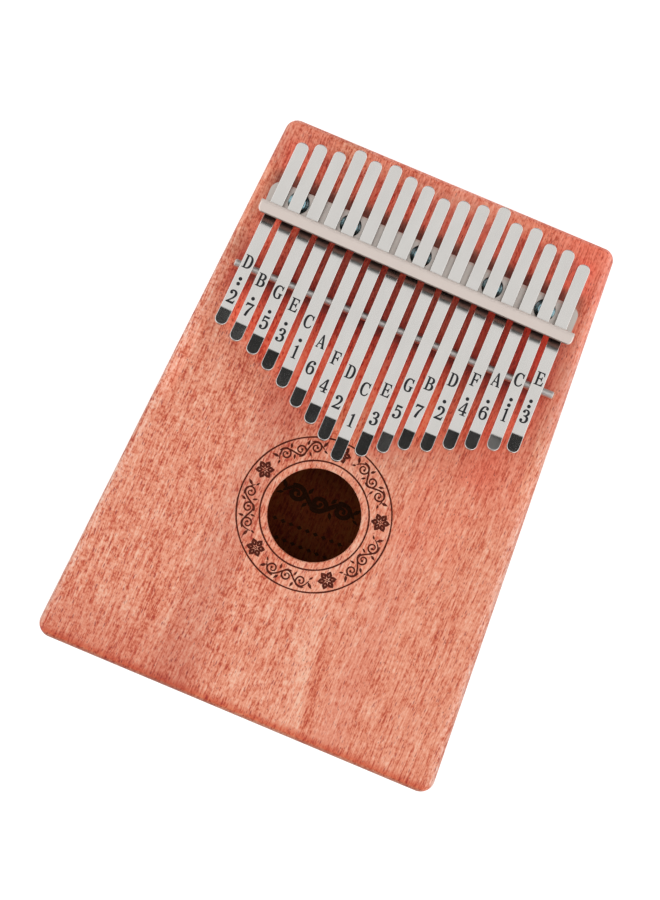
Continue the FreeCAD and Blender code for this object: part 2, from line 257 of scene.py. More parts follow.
def mahogany(name, seed=0.0, light=None, figure=True, spec=0.6, veil=0.05, inside=None, painted_light_top=False, mitred=False):
    """Open-pored reddish wood, grain along Y, pores as short dark flecks.

    painted_light_top: the playing face, with painted highlight and painted shade along its rounded edges, deepest
    along the front edge, and painted shade of the tines, the rod and the bracket on the board.
    inside: (axis, limit in mm) above which the wood faces the cavity and is painted dark, painted shade inside the box.
    mitred: the two end boards have their grain along X and meet the long ones at 45 degrees."""
    t = Tree(name)
    s = (seed * 3.7, seed * 1.3, seed * 5.1)
    warp = t.noise(t.scaled(0.022, 0.010, 0.02, s), 2, 0.5)
    bend = t.math("MULTIPLY", t.math("SUBTRACT", warp, 0.5), 0.007)
    comb = t.t.nodes.new("ShaderNodeCombineXYZ")
    t.link(bend, comb.inputs[0])
    src = t.vmath("ADD", t.coord, comb.outputs[0])
    X, Y, Z = t.split(t.coord)
    if mitred:
        to_side = t.math("SUBTRACT", t.math("SUBTRACT", 0.062975, t.math("MULTIPLY", Y, 0.0669)), t.math("ABSOLUTE", X))
        to_end = t.math("SUBTRACT", 0.0924, t.math("ABSOLUTE", Y))
        end = t.step(t.math("SUBTRACT", to_side, to_end), -0.00004, 0.00004)
        wx, wy, wz = t.split(src)
        turned = t.t.nodes.new("ShaderNodeCombineXYZ")
        t.link(t.math("ADD", wx, t.math("MULTIPLY", end, t.math("SUBTRACT", wy, wx))), turned.inputs[0])
        t.link(t.math("ADD", wy, t.math("MULTIPLY", end, t.math("SUBTRACT", wx, wy))), turned.inputs[1])
        t.link(t.math("ADD", wz, t.math("MULTIPLY", end, 0.031)), turned.inputs[2])
        src = turned.outputs[0]

    def part(value, gain):
        return t.math("MULTIPLY", t.math("SUBTRACT", value, 0.5), gain)

    ribbon = t.noise(t.scaled(0.075, 0.0042, 0.075, (s[0], 4.2 + s[1], s[2]), src), 3, 0.55)
    streak = t.noise(t.scaled(0.80, 0.035, 0.80, s, src), 3, 0.6)
    fibre = t.noise(t.scaled(1.9, 0.13, 1.9, s, src), 2, 0.7)
    mottle = t.noise(t.scaled(0.55, 0.30, 0.55, (s[0] + 9, s[1], s[2]), src), 3, 0.65)
    grit = t.noise(t.scaled(1.5, 0.70, 1.5, (s[0], s[1] + 7, s[2]), src), 2, 0.6)
    left = t.step(X, -0.058, 0.014, 1.0, 0.30)
    # ripple across the grain, strongest on the left
    ripple = t.noise(t.scaled(0.40, 1.20, 0.40, (s[0] + 3, s[1] + 2, s[2]), src), 1, 0.5, 0.3)

    lively = t.step(X, 0.008, 0.022, 1.0, 0.0)
    tone = t.math("ADD", 0.57, part(ribbon, 0.60))
    tone = t.math("ADD", tone, part(streak, 0.86))
    tone = t.math("ADD", tone, part(fibre, 1.38))
    corner = t.math("MULTIPLY", t.step(X, -0.045, -0.020, 1.0, 0.0), t.step(Y, -0.066, -0.040, 1.0, 0.0))
    tone = t.math("ADD", tone, t.math("MULTIPLY", part(streak, 0.36), corner))
    calm = t.step(Y, 0.040, 0.056, 1.0, 0.45)
    middle = t.step(t.math("ABSOLUTE", t.math("SUBTRACT", X, 0.001)), 0.012, 0.030, 1.0, 0.0)
    patchy = t.math("MULTIPLY", t.math("ADD", t.step(lively, 0.0, 1.0, 0.55, 0.90), t.math("MULTIPLY", middle, 0.45)), calm)
    tone = t.math("ADD", tone, t.math("MULTIPLY", part(mottle, 1.0), patchy))
    tone = t.math("ADD", tone, t.math("MULTIPLY", part(grit, 1.0), t.step(lively, 0.0, 1.0, 1.05, 1.30)))
    tone = t.math("ADD", tone, t.math("MULTIPLY", part(ripple, 0.62 if figure else 0.3), left))
    if figure:
        # a pale ribbon with a deeper band beside it, below the sound hole
        run = t.math("SUBTRACT", X, t.math("MULTIPLY", Y, -0.154))
        low = t.step(Y, -0.088, -0.036, 1.0, 0.0)
        pale = t.math("MULTIPLY", t.step(t.math("ABSOLUTE", t.math("SUBTRACT", run, 0.0052)), 0.0012, 0.0042, 1.0, 0.0), low)
        deep = t.math("MULTIPLY", t.step(t.math("ABSOLUTE", t.math("SUBTRACT", run, 0.0100)), 0.0008, 0.0026, 1.0, 0.0), low)
        tone = t.math("ADD", tone, t.math("MULTIPLY", pale, 0.17))
        run = t.math("ADD", X, t.math("ADD", 0.0125, t.math("MULTIPLY", Y, 0.104)))
        wide = t.math("MULTIPLY", t.step(t.math("ABSOLUTE", run), 0.0006, 0.0030, 1.0, 0.0), t.step(Y, -0.060, -0.046, 1.0, 0.0))
        tone = t.math("ADD", tone, t.math("MULTIPLY", wide, 0.11))
        tone = t.math("SUBTRACT", tone, t.math("MULTIPLY", deep, 0.20))
    stops = [(0.0, varnished(181, 75, 53, veil)), (0.25, varnished(209, 107, 81, veil)),
             (0.5, varnished(237, 152, 123, veil)), (0.75, varnished(247, 175, 148, veil)),
             (1.0, varnished(253, 199, 172, veil))]
    col = t.ramp(tone, stops)

    def flecks(sx, sy, r0, r1, share, shift):
        d, c = t.voronoi(t.scaled(sx, sy, sx, (s[0] + shift, s[1] + shift * 0.7, s[2]), src))
        pick = t.t.nodes.new("ShaderNodeSeparateColor")
        t.link(c, pick.inputs[0])
        thin = t.noise(t.scaled(0.13, 0.07, 0.13, (s[0] + shift, s[1], s[2]), src), 2, 0.5)
        keep = t.step(t.math("ADD", pick.outputs[0], t.math("MULTIPLY", thin, 0.8)), 1.36 - share, 1.46 - share)
        return t.math("MULTIPLY", t.step(d, r0, r1, 1.0, 0.0), keep)

    pore = flecks(1.02, 0.25, 0.10, 0.27, 0.60, 1.7)
    pore2 = flecks(1.65, 0.47, 0.13, 0.36, 0.62, 5.3)
    dot = flecks(0.85, 0.50, 0.08, 0.22, 0.34, 8.9)
    # fewer and softer pores beside the bracket and at the heel end
    clean = t.math("ADD", t.math("MULTIPLY", t.step(X, -0.0530, -0.0490, 0.45, 0.0), t.step(Y, 0.026, 0.044)), t.step(Y, 0.078, 0.088, 0.0, 0.28))
    deep = t.math("MULTIPLY", t.step(lively, 0.0, 1.0, 0.85, 1.05), t.math("SUBTRACT", 1.0, clean))
    # thin long red streaks, mostly on the left
    thread = flecks(1.10, 0.085, 0.11, 0.36, 0.58, 12.3)
    col = t.mix(t.math("MULTIPLY", thread, t.step(X, -0.034, 0.004, 0.66, 0.12)), col, varnished(205, 86, 58, veil))
    col = t.mix(t.math("MULTIPLY", t.math("MULTIPLY", pore2, 0.55), deep), col, varnished(175, 67, 46, veil))
    col = t.mix(t.math("MULTIPLY", t.math("MULTIPLY", pore, 0.76), deep), col, varnished(160, 60, 40, veil))
    col = t.mix(t.math("MULTIPLY", t.math("MULTIPLY", dot, 0.70), t.math("SUBTRACT", 1.0, clean)), col, varnished(150, 74, 54, veil))
    # light: painted shade, the side and back boards tinted darker than the top as if less light fell on them
    if light:
        col = t.mix(1.0, col, light, "MULTIPLY")
    if painted_light_top:
        def shade(tint, *masks):
            """Multiply the colour where all the masks are on."""
            nonlocal col
            m = masks[0]
            for other in masks[1:]:
                m = t.math("MULTIPLY", m, other)
            col = t.mix(m, col, t.mix(1.0, col, tint, "MULTIPLY"))

        side = t.math("SUBTRACT", t.math("SUBTRACT", 0.062975, t.math("MULTIPLY", Y, 0.0669)), t.math("ABSOLUTE", X))
        right = t.step(X, -0.001, 0.001)
        left_half = t.math("SUBTRACT", 1.0, right)
        # painted highlight and painted shade along the rounded edges, deepest along the front edge
        shade((1.10, 1.38, 1.60), t.step(side, 0.0019, 0.0037, 1.0, 0.0), right)
        shade((0.80, 0.80, 0.84), t.step(side, 0.0005, 0.0014, 1.0, 0.0), right)
        shade((1.06, 1.26, 1.40), t.step(side, 0.0021, 0.0035, 1.0, 0.0), left_half, t.step(Y, 0.025, 0.050, 1.0, 0.25))
        shade((0.78, 0.84, 0.88), t.step(side, 0.0003, 0.0011, 1.0, 0.0), left_half)
        shade((0.82, 0.44, 0.30), t.step(Y, -0.0908, -0.0881, 1.0, 0.0))
        shade((0.72, 1.16, 1.50), t.step(Y, -0.0919, -0.0910, 1.0, 0.0))
        shade((1.08, 1.30, 1.32), t.step(side, 0.0042, 0.0056, 1.0, 0.0), right, t.step(Y, 0.000, 0.010), t.step(Y, 0.024, 0.034, 1.0, 0.0))
        shade((1.14, 1.08, 1.07), t.step(side, 0.0042, 0.0056, 1.0, 0.0), right, t.step(Y, 0.050, 0.058), t.step(Y, 0.072, 0.080, 1.0, 0.0))
        shade((1.12, 1.13, 1.16), t.step(side, 0.0045, 0.0060, 1.0, 0.0), left_half, t.step(Y, -0.012, 0.002), t.step(Y, 0.036, 0.048, 1.0, 0.0))
        shade((0.90, 0.98, 1.10), t.step(Y, 0.0908, 0.0918, 0.0, 1.0))
        # painted shade on the board's vertical edges, darker like the side frame
        shade((0.76, 0.62, 0.58), t.step(Z, 0.0280, 0.0293, 1.0, 0.0))
        # painted shadow of the rod's left end on the board
        shade((0.86, 0.56, 0.50), left_half, t.step(side, 0.0036, 0.0050), t.step(X, -0.0530, -0.0510, 1.0, 0.0), t.step(Y, 0.033, 0.038), t.step(Y, 0.044, 0.050, 1.0, 0.0))
        # broad deeper and paler patches of the board: left of the hole, the lower left corner, right of the
        # tines, round the tine tips and heels, and the end behind the bracket
        shade((0.88, 0.77, 0.75), t.step(X, -0.034, -0.026), t.step(X, -0.020, -0.013, 1.0, 0.0), t.step(Y, 0.002, 0.018, 1.0, 0.0))
        shade((0.88, 0.72, 0.68), t.step(Y, -0.088, -0.066, 1.0, 0.0), t.step(X, -0.020, -0.004, 1.0, 0.0))
        shade((0.99, 0.77, 0.73), t.step(X, 0.032, 0.045), t.step(Y, -0.012, 0.012))
        shade((1.08, 0.84, 0.82), t.step(Y, 0.070, 0.078), t.step(X, -0.034, -0.024))
        shade((0.97, 0.74, 0.70), t.step(Y, 0.072, 0.080), t.step(X, -0.034, -0.042))
        shade((0.96, 0.88, 0.88), t.step(X, 0.024, 0.030), t.step(X, 0.034, 0.040, 1.0, 0.0), t.step(Y, -0.020, 0.004, 1.0, 0.0))
        # painted shade round the tips of the middle and right tines; the paler patch lifts that shade under them
        shade((0.96, 0.72, 0.66), t.step(X, 0.030, 0.040), t.step(X, 0.045, 0.052, 1.0, 0.0), t.step(Y, 0.000, 0.008), t.step(Y, 0.022, 0.030, 1.0, 0.0))
        shade((0.90, 0.75, 0.73), t.step(X, 0.002, 0.007), t.step(X, 0.014, 0.020, 1.0, 0.0), t.step(Y, -0.002, 0.006), t.step(Y, 0.028, 0.036, 1.0, 0.0))
        shade((1.14, 1.40, 1.36), t.step(X, 0.016, 0.020), t.step(X, 0.022, 0.026, 1.0, 0.0), t.step(Y, 0.008, 0.016), t.step(Y, 0.028, 0.034, 1.0, 0.0))
        shade((0.99, 0.80, 0.75), t.step(X, 0.023, 0.027), t.step(X, 0.031, 0.036, 1.0, 0.0), t.step(Y, -0.008, 0.001), t.step(Y, 0.011, 0.016, 1.0, 0.0))
        shade((0.76, 0.92, 0.96), t.step(X, 0.030, 0.037), t.step(X, 0.0445, 0.0495, 1.0, 0.0), t.step(Y, 0.076, 0.079), t.step(Y, 0.083, 0.087, 1.0, 0.0))
        shade((1.0, 0.89, 0.86), t.step(X, 0.022, 0.028), t.step(X, 0.044, 0.050, 1.0, 0.0), t.step(Y, -0.028, -0.018), t.step(Y, -0.008, 0.004, 1.0, 0.0))
        shade((1.12, 1.17, 1.17), t.step(Y, 0.0835, 0.0865), t.step(Y, 0.0895, 0.0915, 1.0, 0.0), t.step(t.math("ABSOLUTE", t.math("SUBTRACT", t.math("ABSOLUTE", t.math("ADD", X, 0.003)), 0.026)), 0.010, 0.014, 1.0, 0.0))
        shade((1.18, 1.10, 1.05), t.step(X, -0.0545, -0.0520, 1.0, 0.0), t.step(Y, 0.048, 0.056), t.step(Y, 0.074, 0.080, 1.0, 0.0))
        # painted shadow near the tips of the left tines
        shade((0.97, 0.76, 0.72), t.step(X, -0.034, -0.028), t.step(X, -0.019, -0.013, 1.0, 0.0), t.step(Y, -0.006, 0.004), t.step(Y, 0.010, 0.018, 1.0, 0.0))
        # shade of the tines: warm at the tips, deep towards the bar
        u = t.math("ABSOLUTE", t.math("ADD", X, 0.0008))
        ahead = t.math("SUBTRACT", Y, t.math("ADD", -0.0045, t.math("MULTIPLY", u, 0.52)))
        under = (t.step(ahead, -0.003, 0.009), t.step(u, 0.0500, 0.0570, 1.0, 0.0), t.step(Y, 0.062, 0.072, 1.0, 0.0))
        shade((1.20, 0.66, 0.55), *under)
        shade((1.10, 1.60, 1.70), t.step(u, 0.0035, 0.0070, 1.0, 0.0), t.step(Y, -0.002, 0.004), t.step(Y, 0.016, 0.024, 1.0, 0.0))
        shade((0.62, 0.42, 0.42), t.step(Y, 0.0265, 0.0385), *under[1:])
        shade((1.40, 1.80, 1.90), t.step(X, -0.0420, -0.0340, 1.0, 0.0), t.step(Y, 0.0470, 0.0530), t.step(u, 0.0500, 0.0560, 1.0, 0.0), t.step(Y, 0.064, 0.068, 1.0, 0.0))
        shade((0.92, 0.77, 0.71), t.step(Y, 0.0320, 0.0370), t.step(Y, 0.0440, 0.0500, 1.0, 0.0), t.step(u, 0.0460, 0.0520, 1.0, 0.0))
        # behind the bracket: painted shade among the heels, deepest just behind the flange
        shade((1.26, 0.82, 0.78), t.step(Y, 0.073, 0.077), t.step(Y, 0.083, 0.088, 1.0, 0.0), t.step(u, 0.0500, 0.0560, 1.0, 0.0))
        shade((0.80, 0.80, 0.84), t.step(Y, 0.0805, 0.0825), t.step(Y, 0.0840, 0.0862, 1.0, 0.0), t.step(u, 0.0460, 0.0520, 1.0, 0.0))
        shade((0.34, 0.22, 0.20), t.step(Y, 0.0728, 0.0775, 1.0, 0.0), t.step(Y, 0.062, 0.068), t.step(u, 0.0500, 0.0560, 1.0, 0.0))
        # in front of the rod it is dark, behind it light falls in again
        near = t.step(u, 0.0480, 0.0530, 1.0, 0.0)
        west = t.step(X, 0.0190, 0.0260, 1.0, 0.0)
        shade((1.26, 1.06, 1.04), west, near, t.step(Y, 0.0100, 0.0200), t.step(Y, 0.0372, 0.0384, 1.0, 0.0), under[0])
        shade((0.50, 0.50, 0.60), near, t.step(Y, 0.0374, 0.0402), t.step(Y, 0.0430, 0.0438, 1.0, 0.0))
        shade((1.30, 1.24, 1.18), near, t.step(Y, 0.0436, 0.0446), t.step(Y, 0.0600, 0.0640, 1.0, 0.0))
        shade((1.06, 0.68, 0.54), near, t.step(X, 0.0190, 0.0260), t.step(Y, 0.0460, 0.0530), t.step(Y, 0.0600, 0.0640, 1.0, 0.0))
        shade((1.00, 1.14, 1.22), near, t.step(X, -0.0300, -0.0230, 1.0, 0.0), t.step(Y, 0.0436, 0.0446), t.step(Y, 0.0600, 0.0640, 1.0, 0.0))
        shade((1.34, 1.20, 1.20), near, t.step(Y, 0.0562, 0.0585), t.step(Y, 0.0615, 0.0625, 1.0, 0.0))
    if inside:
        axis, limit = inside
        # painted shade inside the box: the wood facing the cavity is darkened
        mask = t.step((X, Y, Z)[axis], (limit - 0.3) * MM, (limit + 0.3) * MM, 0.0, 1.0)
        col = t.mix(mask, col, t.mix(1.0, col, (0.265, 0.152, 0.044), "MULTIPLY"))

    h = t.math("SUBTRACT", t.math("MULTIPLY", fibre, 0.35),
               t.math("ADD", t.math("MULTIPLY", pore, 0.9), t.math("MULTIPLY", pore2, 0.5)))
    rough = t.step(streak, 0.2, 0.8, 0.46, 0.60)
    return t.set(color=col, rough=rough, normal=t.bump(h, 0.05, 0.6), spec=spec)


def cavity_wood(name, seed=0.0):
    """Bare glue block inside the box, dull brown."""
    t = Tree(name)
    n = t.noise(t.scaled(0.5, 0.05, 0.5, (seed, 0, seed)), 3, 0.6)
    f = t.noise(t.scaled(2.4, 0.2, 2.4), 2, 0.6)
    k = t.math("ADD", t.math("MULTIPLY", n, 0.6), t.math("MULTIPLY", f, 0.4))
    col = t.ramp(k, [(0.25, lin(84, 44, 26)), (0.5, lin(112, 62, 38)), (0.75, lin(140, 86, 56))])
    return t.set(color=col, rough=t.step(f, 0.3, 0.7, 0.6, 0.8), normal=t.bump(f, 0.04, 0.6), spec=0.25)


def steel(name, base, rough, brush=(14.0, 0.25, 14.0), tint=0.05, bump=0.0012, metal=1.0, soft=False, hidden=None, heads=None, dip=None):
    """Satin metal with a fine directional finish and a faint cloudiness.

    soft: the tips' own dullness is read from the mesh attribute "dull".
    hidden: (z, y) in mm; below and in front of these the plate is painted near black, painted shade under the bar.
    heads: y in mm of a row of screw heads, painted darker towards front and rear as painted shade on the domed heads.
    dip: y in mm behind which the strip runs down under the bar, where it is smooth and painted brown: painted shade of
    the bar and painted reflection of the wood."""
    t = Tree(name)
    line = t.noise(t.scaled(*brush), 2, 0.6)
    if dip:
        X, Y, Z = t.split(t.coord)
        along = t.math("SUBTRACT", Y, t.math("MULTIPLY", X, BAR_SKEW))
        low = t.math("MULTIPLY", t.step(along, (dip - 0.4) * MM, (dip + 0.4) * MM), t.step(along, (dip + 3.2) * MM, (dip + 4.0) * MM, 1.0, 0.0))
        line = t.math("ADD", line, t.math("MULTIPLY", low, t.math("SUBTRACT", 0.5, line)))
    cloud = t.noise(t.scaled(0.22, 0.12, 0.22), 3, 0.5)
    k = t.math("ADD", t.math("MULTIPLY", t.math("SUBTRACT", line, 0.5), tint),
               t.math("MULTIPLY", t.math("SUBTRACT", cloud, 0.5), tint * 1.2))
    k = t.math("ADD", k, 0.9)
    grey = t.t.nodes.new("ShaderNodeCombineColor")
    for i in range(3):
        t.link(k, grey.inputs[i])
    mixed = t.mix(1.0, tuple(v / 0.9 for v in base), grey.outputs[0], "MULTIPLY")
    r = t.math("ADD", rough, t.math("MULTIPLY", t.math("SUBTRACT", cloud, 0.5), 0.10))
    r = t.math("ADD", r, t.math("MULTIPLY", t.math("SUBTRACT", line, 0.5), 0.05))
    if dip:
        # painted shade of the bar and painted reflection of the wood on the strip under the bar
        mixed = t.mix(low, mixed, t.mix(1.0, mixed, (0.80, 0.54, 0.49), "MULTIPLY"))
    if soft:
        at = t.t.nodes.new("ShaderNodeAttribute")
        at.attribute_name = "dull"
        r = t.math("ADD", r, at.outputs["Fac"])
    if hidden:
        X, Y, Z = t.split(t.coord)
        z, y = hidden
        Y = t.math("SUBTRACT", Y, t.math("MULTIPLY", X, BAR_SKEW))
        m = t.math("MULTIPLY", t.step(Z, (z - 0.1) * MM, (z + 0.1) * MM, 1.0, 0.0),
                   t.step(Y, (y - 0.1) * MM, (y + 0.1) * MM, 1.0, 0.0))
        # painted shade under and in front of the bar: the plate is painted near black there
        mixed = t.mix(m, mixed, (0.03, 0.026, 0.025))
        r = t.math("ADD", r, t.math("MULTIPLY", m, 0.3))
        # the outer bend at the rear is rubbed dull
        # the flange is painted darker, painted shade between the tines, and warmer at its rear edge; the bar's front
        # face is painted darker and warmer, painted shade
        mixed = t.mix(t.step(Z, 0.0316, 0.0320, 1.0, 0.0), mixed, t.mix(1.0, mixed, (0.79, 0.81, 0.81), "MULTIPLY"))
        lip = t.math("MULTIPLY", t.step(Y, 0.0702, 0.0712), t.step(Z, 0.0316, 0.0320, 1.0, 0.0))
        mixed = t.mix(lip, mixed, t.mix(1.0, mixed, (0.94, 0.80, 0.77), "MULTIPLY"))
        front = t.math("MULTIPLY", t.step(Y, 0.05908, 0.05918, 1.0, 0.0), t.step(Z, 0.0389, 0.0392, 1.0, 0.0))
        mixed = t.mix(front, mixed, t.mix(1.0, mixed, (0.80, 0.62, 0.56), "MULTIPLY"))
        worn = t.math("MULTIPLY", t.step(Y, (y - 1.0) * MM, (y - 0.5) * MM), t.step(Z, (z - 0.3) * MM, (z + 0.1) * MM))
        r = t.math("ADD", r, t.math("MULTIPLY", worn, 0.5))
        metal = t.step(worn, 0.0, 1.0, metal, 0.15)
    if heads:
        X, Y, Z = t.split(t.coord)
        off = t.math("SUBTRACT", t.math("SUBTRACT", Y, t.math("MULTIPLY", X, BAR_SKEW)), heads * MM)
        off = t.math("ADD", t.math("ABSOLUTE", off), t.math("MULTIPLY", t.math("SUBTRACT", cloud, 0.5), 0.0010))
        # painted shade on the domed screw heads, dark towards front and rear
        mixed = t.mix(t.step(off, 0.0003, 0.0019), mixed, (0.018, 0.034, 0.038))
    return t.set(color=mixed, metal=metal, rough=r, normal=t.bump(line, bump, 0.5))


def flat_ink(name, col, rough=0.55, grain=8.0, spec=0.3):
    t = Tree(name)
    n = t.noise(t.scaled(grain, grain, grain), 2, 0.5)
    c = t.mix(t.step(n, 0.3, 0.7), col, tuple(min(1, v * 1.5 + 0.004) for v in col))
    return t.set(color=c, rough=t.step(n, 0.3, 0.7, rough - 0.08, rough + 0.08), normal=t.bump(n, 0.004, 0.5), spec=spec)


def scorched(name):
    """Burnt line: dark brown, uneven, matt."""
    t = Tree(name)
    n = t.noise(t.scaled(1.6, 1.0, 1.6), 3, 0.65)
    f = t.noise(t.scaled(6.0, 1.5, 6.0), 2, 0.5)
    c = t.ramp(t.math("ADD", t.math("MULTIPLY", n, 0.7), t.math("MULTIPLY", f, 0.3)),
               [(0.2, lin(48, 16, 10)), (0.5, lin(82, 30, 18)), (0.8, lin(128, 56, 36))])
    return t.set(color=c, rough=0.75, normal=t.bump(f, 0.01, 0.5), spec=0.15)


M = {
    "top": mahogany("mahogany_top", 0.0, painted_light_top=True),
    "side": mahogany("mahogany_side", 2.0, (0.72, 0.56, 0.52), figure=False, mitred=True),
    "back": mahogany("mahogany_back", 4.0, (0.68, 0.52, 0.48), spec=0.04, veil=0.01, inside=(2, 3.6)),
    "inner": cavity_wood("glue_block", 6.0),
    "saddle": mahogany("mahogany_saddle", 8.0, figure=False),
    "tine": steel("tine_steel", (0.635, 0.615, 0.590), 0.19, tint=0.09, soft=True, dip=56.6),
    "bracket": steel("satin_nickel", (0.685, 0.598, 0.548), 0.30, brush=(0.3, 9.0, 9.0), tint=0.06, hidden=(38.5, 62.95)),
    "rod": steel("rod_steel", (0.60, 0.56, 0.54), 0.55, brush=(0.3, 12.0, 12.0)),
    "zinc": steel("blue_zinc", (0.30, 0.48, 0.54), 0.24, brush=(3.0, 3.0, 3.0), tint=0.18, heads=66.9),
    "ink": flat_ink("label_ink", (0.006, 0.006, 0.008)),
    "burn": scorched("scorched_line"),
    "stain": flat_ink("cavity_stamp", (0.030, 0.009, 0.003), 0.9, 2.0, spec=0.02),
}


def paint(node, mat):
    o = NODES[node]
    o.data.materials.clear()
    o.data.materials.append(mat)
    return o


paint("soundboard", M["top"])
paint("side_frame", M["side"])
paint("back_board", M["back"])
paint("bridge_block", M["inner"])
paint("bridge_bracket", M["bracket"])
paint("bracket_screws", M["zinc"])
paint("saddle_rod", M["rod"])
paint("saddle_strip", M["saddle"])


# ---------------------------------------------------------------------------
# Flat artwork: closed outlines filled and given a small thickness
# ---------------------------------------------------------------------------
def flatten(path, steps=10):
    """A path of M, L, C and Z commands as a list of closed outlines."""
    words = path.replace(",", " ").split()
    out, cur, i, cmd = [], [], 0, None
    while i < len(words):
        if words[i] in "MLCZ":
            cmd = words[i]
            i += 1
            if cmd == "Z":
                out.append(cur)
                cur = []
                continue
        if cmd == "M":
            cur = [(float(words[i]), float(words[i + 1]))]
            i += 2
            cmd = "L"
        elif cmd == "L":
            cur.append((float(words[i]), float(words[i + 1])))
            i += 2
        elif cmd == "C":
            p0 = cur[-1]
            p1, p2, p3 = [(float(words[i + 2 * j]), float(words[i + 2 * j + 1])) for j in range(3)]
            i += 6
            for k in range(1, steps + 1):
                u = k / steps
                a, b, c, d = (1 - u) ** 3, 3 * u * (1 - u) ** 2, 3 * u * u * (1 - u), u ** 3
                cur.append((a * p0[0] + b * p1[0] + c * p2[0] + d * p3[0],
                            a * p0[1] + b * p1[1] + c * p2[1] + d * p3[1]))
    return out


def fill(outlines, z0, z1):
    """Vertices and faces of a flat solid with these outlines (holes allowed)."""
    cu = bpy.data.curves.new("tmp_fill", "CURVE")
    cu.dimensions = "2D"
    cu.fill_mode = "BOTH"
    for line in outlines:
        sp = cu.splines.new("POLY")
        sp.points.add(len(line) - 1)
        for p, (x, y) in zip(sp.points, line):
            p.co = (x, y, 0, 1)
        sp.use_cyclic_u = True
    cu.extrude = 0.5
    ob = bpy.data.objects.new("tmp_fill", cu)
    bpy.context.scene.collection.objects.link(ob)
    dg = bpy.context.evaluated_depsgraph_get()
    me = bpy.data.meshes.new_from_object(ob.evaluated_get(dg))
    bm = bmesh.new()
    bm.from_mesh(me)
    bmesh.ops.remove_doubles(bm, verts=bm.verts, dist=1e-5)
    bmesh.ops.recalc_face_normals(bm, faces=bm.faces)
    bm.verts.index_update()
    verts = [(v.co.x, v.co.y, z1 if v.co.z > 0 else z0) for v in bm.verts]
    faces = [tuple(v.index for v in f.verts) for f in bm.faces]
    bm.free()
    bpy.data.objects.remove(ob)
    bpy.data.curves.remove(cu)
    bpy.data.meshes.remove(me)
    return verts, faces


